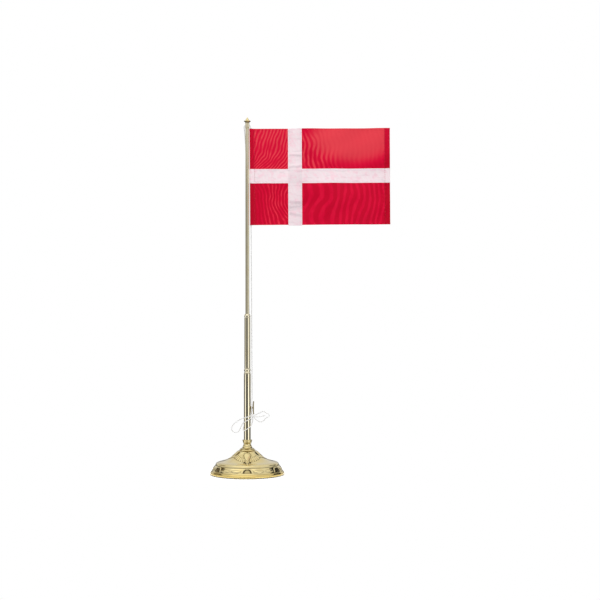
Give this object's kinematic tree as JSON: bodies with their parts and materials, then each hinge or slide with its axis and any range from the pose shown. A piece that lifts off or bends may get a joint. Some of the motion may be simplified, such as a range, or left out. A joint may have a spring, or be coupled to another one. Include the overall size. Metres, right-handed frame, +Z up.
{
  "type": "table flag pole",
  "caption": "Polished brass table flag pole with a stamped domed foot, stepped slim pole, pointed finial and cleat, and a red satin flag with a white cross on a white halyard.",
  "frame": {"origin": "centre of the felt's underside, on the pole's axis", "axes": "+Z up along the pole, +X from the pole towards the flag's fly, so the front view looks along +Y"},
  "size_m": [0.2118, 0.087, 0.42],
  "materials": {
    "polished_brass": "mirror polished, lacquered",
    "plain_brass": "as turned",
    "zinc_steel": "zinc plated",
    "cast_iron": "as cast",
    "green_felt": "pressed felt",
    "white_cord": "thin braided cord",
    "red_satin": "satin with a moire sheen",
    "white_satin": "thin satin"
  },
  "bodies": {
    "base": {"base_shell": "polished_brass", "base_flange": "polished_brass", "neck_collar": "polished_brass", "ballast_weight": "cast_iron", "tie_stud": "zinc_steel", "tie_washer": "zinc_steel", "tie_nut": "zinc_steel", "felt_pad": "green_felt"},
    "pole": {"lower_tube": "polished_brass", "lower_tube_bush": "plain_brass", "joint_ring_lower": "polished_brass", "joint_stud_lower": "plain_brass", "middle_tube_bush": "plain_brass", "middle_tube": "polished_brass", "joint_ring_upper": "polished_brass", "upper_rod_bush": "plain_brass", "upper_rod": "polished_brass", "truck": "polished_brass", "cleat": "polished_brass", "cleat_nut": "plain_brass", "halyard_cleat_turns": "white_cord", "halyard_hoist_fall": "white_cord", "halyard_truck_turn": "white_cord", "halyard_back_fall": "white_cord", "halyard_right_loop": "white_cord", "halyard_left_loop": "white_cord", "halyard_pole_wraps": "white_cord", "halyard_tail": "white_cord", "halyard_knot": "white_cord"},
    "finial": {"finial": "polished_brass"},
    "hoist_line": {"hoist_stop_upper": "white_cord", "hoist_stop_lower": "white_cord"},
    "flag": {"field_upper_hoist": "red_satin", "field_lower_hoist": "red_satin", "field_upper_fly": "red_satin", "field_lower_fly": "red_satin", "cross_horizontal": "white_satin", "cross_vertical_upper": "white_satin", "cross_vertical_lower": "white_satin"}
  },
  "joints": [
    {"name": "pole_lift_off", "type": "slide", "parent": "base", "child": "pole", "axis": [0, 0, 1], "range_m": [0, 0.02]},
    {"name": "finial_lift_off", "type": "slide", "parent": "pole", "child": "finial", "axis": [0, 0, 1], "range_m": [0, 0.006]},
    {"name": "flag_hoist", "type": "slide", "parent": "pole", "child": "hoist_line", "axis": [-0.006, 0, 1], "range_m": [-0.19, 0]},
    {"name": "flag_swing", "type": "hinge", "parent": "hoist_line", "child": "flag", "pos_m": [0.00414, 0, 0.35], "axis": [-0.006, 0, 1], "range_deg": [-100, 100]}
  ]
}
